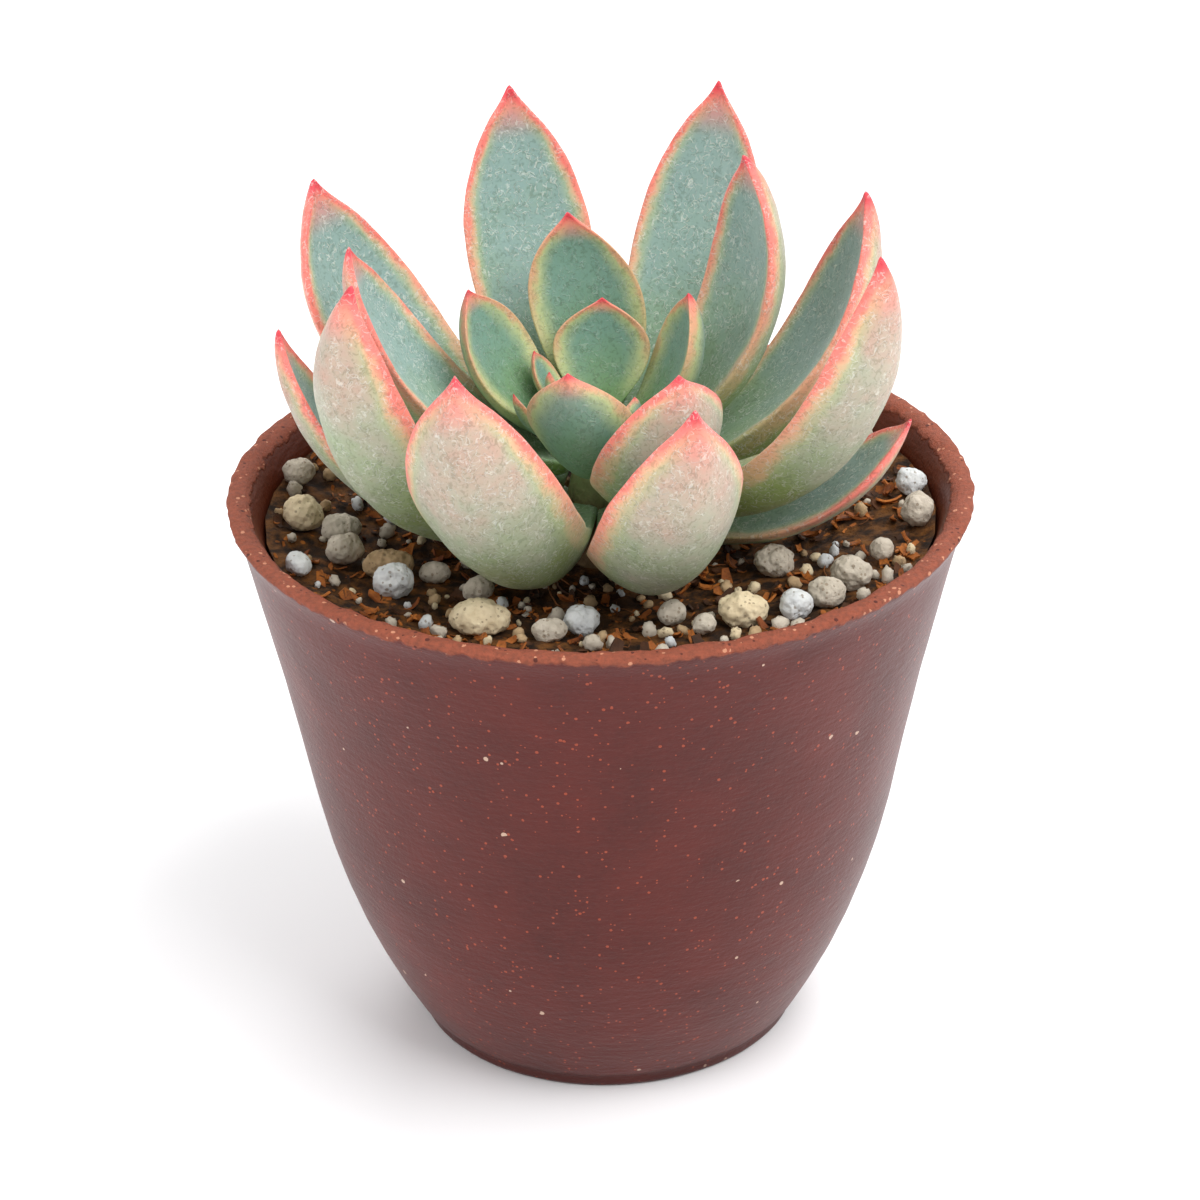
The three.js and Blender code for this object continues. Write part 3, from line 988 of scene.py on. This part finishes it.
class Litter:
    """Finds places on the soil for small things, clear of the wall, the stones and the leaves."""

    def __init__(self, seed):
        self.random = random.Random(seed)
        pieces = bpy.data.objects
        self.soil = tree_of(pieces["soil_crumb"])
        self.leaves = tree_of(*(p for p in pieces if p.name.endswith(("_blade", "_flesh"))))
        self.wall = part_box("soil")[1].x
        self.stones = []
        for node in nodes_named("stone"):
            low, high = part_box(node)
            centre = (low + high) / 2
            self.stones.append((centre.x, centre.y, 0.25 * (high.x - low.x + high.y - low.y)))
        self.taken = []

    def ground(self, x, y):
        """The soil's surface below a point."""
        hit, normal, _, _ = self.soil.ray_cast(Vector((x, y, 0.1)), Vector((0, 0, -1)))
        return hit, normal

    def fits(self, x, y, radius, height, apart):
        if math.hypot(x, y) > self.wall - radius:
            return None
        for cx, cy, reach in self.stones + (self.taken if apart else []):
            if math.hypot(x - cx, y - cy) < 0.86 * (reach + radius):
                return None
        hit, normal = self.ground(x, y)
        if hit is None or normal.z < 0.2:
            return None
        over = self.leaves.ray_cast(hit, Vector((0, 0, 1)))
        beside = self.leaves.find_nearest(hit + Vector((0, 0, height / 2)))
        if over[0] is not None and over[3] < 1.3 * height:
            return None
        if beside[0] is not None and beside[3] < 0.7 * radius:
            return None
        return hit

    def place(self, radius, height, apart=True, inner=8 * MM):
        """A free place, or None when none is found in a few tries."""
        for _ in range(12):
            turn = self.random.uniform(0, 2 * math.pi)
            out = math.sqrt(self.random.uniform((inner / self.wall) ** 2, 1)) * self.wall
            x, y = out * math.cos(turn), out * math.sin(turn)
            hit = self.fits(x, y, radius, height, apart)
            if hit is not None:
                if apart:
                    self.taken.append((x, y, radius))
                return hit
        return None


def joined(name, pieces):
    """Joins pieces into one, and puts its place into its mesh."""
    deselect_all()
    for piece in pieces:
        piece.select_set(True)
    bpy.context.view_layer.objects.active = pieces[0]
    bpy.ops.object.join()
    whole = bpy.context.view_layer.objects.active
    whole.name = name
    whole.data.name = name
    pick(whole)
    bpy.ops.object.transform_apply(location=True, rotation=True, scale=True)
    return whole


def laid(pattern, name, where, turn, scale):
    """A copy of a pattern with its own mesh, at a place."""
    piece = bpy.data.objects.new(name, pattern.data.copy())
    bpy.context.scene.collection.objects.link(piece)
    piece.location = where
    piece.rotation_euler = turn
    piece.scale = scale
    return piece


def grain_pattern(name, seed):
    """A small knobbly grain, a few dozen faces, 1 m across."""
    deselect_all()
    bpy.ops.mesh.primitive_ico_sphere_add(subdivisions=1, radius=0.5)
    piece = bpy.context.active_object
    piece.name = name
    subdivide(piece, 1)
    draw = random.Random(seed)
    for vertex in piece.data.vertices:
        vertex.co *= draw.uniform(0.78, 1.2)
    smooth(piece)
    return piece


class SUCCULENT_OT_gravel(bpy.types.Operator):
    """Scatters small pumice grains between the stones"""

    bl_idname = "succulent.gravel"
    bl_label = "Gravel"

    # Grains that stand out: azimuth in degrees, distance from the axis and size in millimetres, tint.
    CHOSEN = (
        (169, 33.8, 2.6, "grey"),
        (179, 34.3, 2.4, "tan"),
        (172, 29.9, 2.0, "tan"),
        (206, 31.0, 1.8, "grey"),
        (211, 30.3, 1.6, "cream"),
        (217, 22.3, 1.8, "tan"),
        (223, 27.4, 1.5, "white"),
        (220, 18.6, 1.9, "grey"),
        (232, 29.4, 2.5, "white"),
        (256, 19.6, 2.5, "grey"),
        (262, 17.3, 1.8, "tan"),
        (268, 28.6, 2.8, "grey"),
        (284, 26.5, 2.2, "cream"),
        (298, 23.6, 1.9, "grey"),
        (297, 29.8, 1.9, "cream"),
        (314, 18.6, 2.3, "tan"),
        (318, 21.4, 2.0, "cream"),
        (333, 24.2, 1.9, "cream"),
        (325, 24.6, 2.5, "tan"),
        (309, 29.4, 2.4, "white"),
        (331, 33.9, 2.6, "grey"),
        (338, 28.2, 2.3, "grey"),
        (342, 34.2, 2.0, "cream"),
        (335, 35.0, 1.8, "grey"),
        (2, 32.4, 1.6, "grey"),
    )

    def execute(self, context):
        soil = context.scene.succulent_soil
        litter = Litter(11)
        draw = litter.random
        patterns = [grain_pattern(f"grain_pattern_{i}", i) for i in range(5)]
        grains = {"grey": [], "cream": [], "white": [], "tan": []}

        def add(hit, size, tint):
            tall = size * draw.uniform(0.62, 0.85)
            grain = laid(
                draw.choice(patterns),
                "grain",
                hit + Vector((0, 0, 0.3 * tall)),
                [draw.uniform(0, 2 * math.pi) for _ in range(3)],
                [size, size * draw.uniform(0.75, 0.95), tall],
            )
            grains[tint].append(grain)

        for azimuth, out, size, tint in self.CHOSEN:
            turn = math.radians(azimuth)
            x, y = out * MM * math.cos(turn), out * MM * math.sin(turn)
            hit = litter.fits(x, y, 0.5 * size * MM, 0.7 * size * MM, True)
            if hit is not None:
                litter.taken.append((x, y, 0.5 * size * MM))
                add(hit, size * MM, tint)
        for _ in range(soil.gravel):
            size = (0.8 + 1.9 * draw.random() ** 1.4) * MM
            tint = draw.choice(("grey", "grey", "grey", "cream", "tan", "tan", "white"))
            hit = litter.place(size / 2, 0.7 * size)
            if hit is not None:
                add(hit, size, tint)
        materials = pumice_materials(context.scene.succulent_stone)
        for tint, pieces in grains.items():
            finish_piece(joined("gravel_" + tint, pieces), materials[tint])
        for pattern in patterns:
            bpy.data.objects.remove(pattern)
        return {"FINISHED"}


def flake_pattern(name, seed):
    """A thin curled chip of bark, 1 m long."""
    deselect_all()
    bpy.ops.mesh.primitive_grid_add(x_subdivisions=4, y_subdivisions=2, size=1)
    piece = bpy.context.active_object
    piece.name = name
    draw = random.Random(seed)
    curl = draw.uniform(0.25, 0.7)
    for vertex in piece.data.vertices:
        x, y = vertex.co.x, vertex.co.y * 0.5
        taper = 1 - 0.7 * abs(x) ** 1.5
        vertex.co = (
            x + draw.uniform(-0.05, 0.05),
            y * taper + draw.uniform(-0.05, 0.05),
            curl * (x * x + y * y) + draw.uniform(-0.04, 0.04),
        )
    apply_modifier(piece, "SOLIDIFY", thickness=0.09)
    smooth(piece, 40)
    return piece


class SUCCULENT_OT_bark(bpy.types.Operator):
    """Scatters curled chips of bark over the soil"""

    bl_idname = "succulent.bark"
    bl_label = "Bark"

    def execute(self, context):
        settings = context.scene.succulent_soil
        litter = Litter(23)
        draw = litter.random
        patterns = [flake_pattern(f"flake_pattern_{i}", i) for i in range(6)]
        flakes = {"light": [], "dark": []}
        for _ in range(settings.flakes):
            size = (0.7 + 2.0 * draw.random() ** 1.8) * MM
            hit = litter.place(0.35 * size, 0.5 * size, apart=False)
            if hit is None:
                continue
            kind = "light" if draw.random() < 0.62 else "dark"
            flake = laid(
                draw.choice(patterns),
                "flake",
                hit + Vector((0, 0, 0.08 * size)),
                (draw.uniform(-0.7, 0.7), draw.uniform(-0.7, 0.7), draw.uniform(0, 2 * math.pi)),
                (size, size * draw.uniform(0.6, 1.1), size),
            )
            flakes[kind].append(flake)
        light = bark_material("Bark light", settings.bark, paint(120, 62, 26))
        dark = bark_material("Bark dark", settings.bark_dark, paint(44, 28, 16))
        finish_piece(joined("bark_light", flakes["light"]), light)
        finish_piece(joined("bark_dark", flakes["dark"]), dark)
        for pattern in patterns:
            bpy.data.objects.remove(pattern)
        return {"FINISHED"}


class SUCCULENT_OT_fibres(bpy.types.Operator):
    """Lays thin curved fibres on the soil"""

    bl_idname = "succulent.fibres"
    bl_label = "Fibres"

    def execute(self, context):
        settings = context.scene.succulent_soil
        litter = Litter(37)
        draw = litter.random
        strands = []
        for _ in range(settings.fibres):
            size = draw.uniform(2.0, 6.0) * MM
            hit = litter.place(0.4 * size, 0.6 * MM, apart=False)
            if hit is None:
                continue
            curve = bpy.data.curves.new("fibre", "CURVE")
            curve.dimensions = "3D"
            curve.bevel_depth = draw.uniform(0.05, 0.1) * MM
            curve.bevel_resolution = 0
            curve.use_fill_caps = True
            line = curve.splines.new("POLY")
            line.points.add(6)
            heading = draw.uniform(0, 2 * math.pi)
            bend = draw.uniform(-0.5, 0.5)
            at = hit.copy()
            for point in line.points:
                ground, _ = litter.ground(at.x, at.y)
                level = ground.z if ground is not None else at.z
                point.co = (at.x, at.y, level + draw.uniform(0.1, 0.45) * MM, 1)
                at += Vector((math.cos(heading), math.sin(heading), 0)) * size / 7
                heading += bend
                limit = litter.wall - 1.2 * MM
                if math.hypot(at.x, at.y) > limit:
                    at *= limit / math.hypot(at.x, at.y)
            strands.append(bpy.data.objects.new("fibre", curve))
            bpy.context.scene.collection.objects.link(strands[-1])
        deselect_all()
        for strand in strands:
            strand.select_set(True)
        bpy.context.view_layer.objects.active = strands[0]
        bpy.ops.object.convert(target="MESH")
        whole = joined("fibres", strands)
        smooth(whole)
        finish_piece(whole, bark_material("Fibre", paint(150, 92, 46), paint(84, 50, 26)))
        return {"FINISHED"}


# ---- Stage -----------------------------------------------------------------------------------


class SUCCULENT_OT_stage(bpy.types.Operator):
    """Sets the camera, the pale floor and the soft light"""

    bl_idname = "succulent.stage"
    bl_label = "Stage"

    def execute(self, context):
        settings = context.scene.succulent_stage
        self.camera(settings)
        self.floor(settings)
        self.lights()
        context.scene.view_settings.view_transform = "Standard"
        return {"FINISHED"}

    @staticmethod
    def camera(settings):
        data = bpy.data.cameras.new("Camera")
        data.lens = settings.lens
        data.sensor_width = 36
        camera = bpy.data.objects.new("Camera", data)
        bpy.context.scene.collection.objects.link(camera)
        camera.location = settings.place
        turn = Matrix.Rotation(math.pi / 2 - settings.pitch, 4, "X") @ Matrix.Rotation(settings.roll, 4, "Z")
        camera.rotation_euler = turn.to_euler()
        bpy.context.scene.camera = camera

    @staticmethod
    def floor(settings):
        deselect_all()
        bpy.ops.mesh.primitive_plane_add(size=6, location=(0, 0, 0))
        floor = bpy.context.active_object
        floor.name = "floor"
        material, graph, shader = new_material("Floor", 0.9, specular=0.2)
        soft = graph.noise(120 * MM, detail=2.0)
        body = graph.mix(graph.times(soft, 0.05), settings.floor, paint(238, 238, 240))
        graph.feed(shader.inputs["Base Color"], body)
        floor.data.materials.append(material)

    @staticmethod
    def lights():
        world = bpy.data.worlds.new("World")
        world.use_nodes = True
        world.node_tree.nodes["Background"].inputs["Color"].default_value = (1, 1, 1, 1)
        world.node_tree.nodes["Background"].inputs["Strength"].default_value = 0.68
        bpy.context.scene.world = world
        for name, place, size, power in (
            ("key", (0.45, -0.3, 0.8), 0.8, 9.0),
            ("fill", (-0.8, -0.3, 0.35), 0.6, 3.0),
            ("back", (0.1, 0.8, 0.6), 0.7, 5.0),
        ):
            data = bpy.data.lights.new(name, "AREA")
            data.size = size
            data.energy = power
            light = bpy.data.objects.new(name, data)
            bpy.context.scene.collection.objects.link(light)
            light.location = place
            aim = Vector((0, 0, 0.06)) - Vector(place)
            light.rotation_euler = aim.to_track_quat("-Z", "Y").to_euler()


# ---- Panel -----------------------------------------------------------------------------------

STEPS = (
    SUCCULENT_OT_stage,
    SUCCULENT_OT_pot,
    SUCCULENT_OT_soil,
    SUCCULENT_OT_stem,
    SUCCULENT_OT_grown_leaves,
    SUCCULENT_OT_inner_leaves,
    SUCCULENT_OT_heart_leaves,
    SUCCULENT_OT_stones,
    SUCCULENT_OT_gravel,
    SUCCULENT_OT_bark,
    SUCCULENT_OT_fibres,
)

SETTINGS = {
    "succulent_leaf": LeafSettings,
    "succulent_pot": PotSettings,
    "succulent_soil": SoilSettings,
    "succulent_stone": StoneSettings,
    "succulent_stage": StageSettings,
}


class SUCCULENT_PT_panel(bpy.types.Panel):
    """Lists the pieces of the potted succulent and their settings"""

    bl_label = "Potted succulent"
    bl_idname = "SUCCULENT_PT_panel"
    bl_space_type = "VIEW_3D"
    bl_region_type = "UI"
    bl_category = "Succulent"

    def draw(self, context):
        column = self.layout.column()
        for step in STEPS:
            column.operator(step.bl_idname)
        for key in SETTINGS:
            group = getattr(context.scene, key)
            column.label(text=group.bl_rna.name)
            for name in group.__annotations__:
                column.prop(group, name)


def register():
    for kind in (*SETTINGS.values(), *STEPS, SUCCULENT_PT_panel):
        bpy.utils.register_class(kind)
    for key, kind in SETTINGS.items():
        setattr(bpy.types.Scene, key, PointerProperty(type=kind))


def unregister():
    for key in SETTINGS:
        delattr(bpy.types.Scene, key)
    for kind in (SUCCULENT_PT_panel, *reversed(STEPS), *reversed(SETTINGS.values())):
        bpy.utils.unregister_class(kind)


def main():
    register()
    for step in STEPS:
        group, name = step.bl_idname.split(".")
        getattr(getattr(bpy.ops, group), name)()


if __name__ == "__main__":
    main()
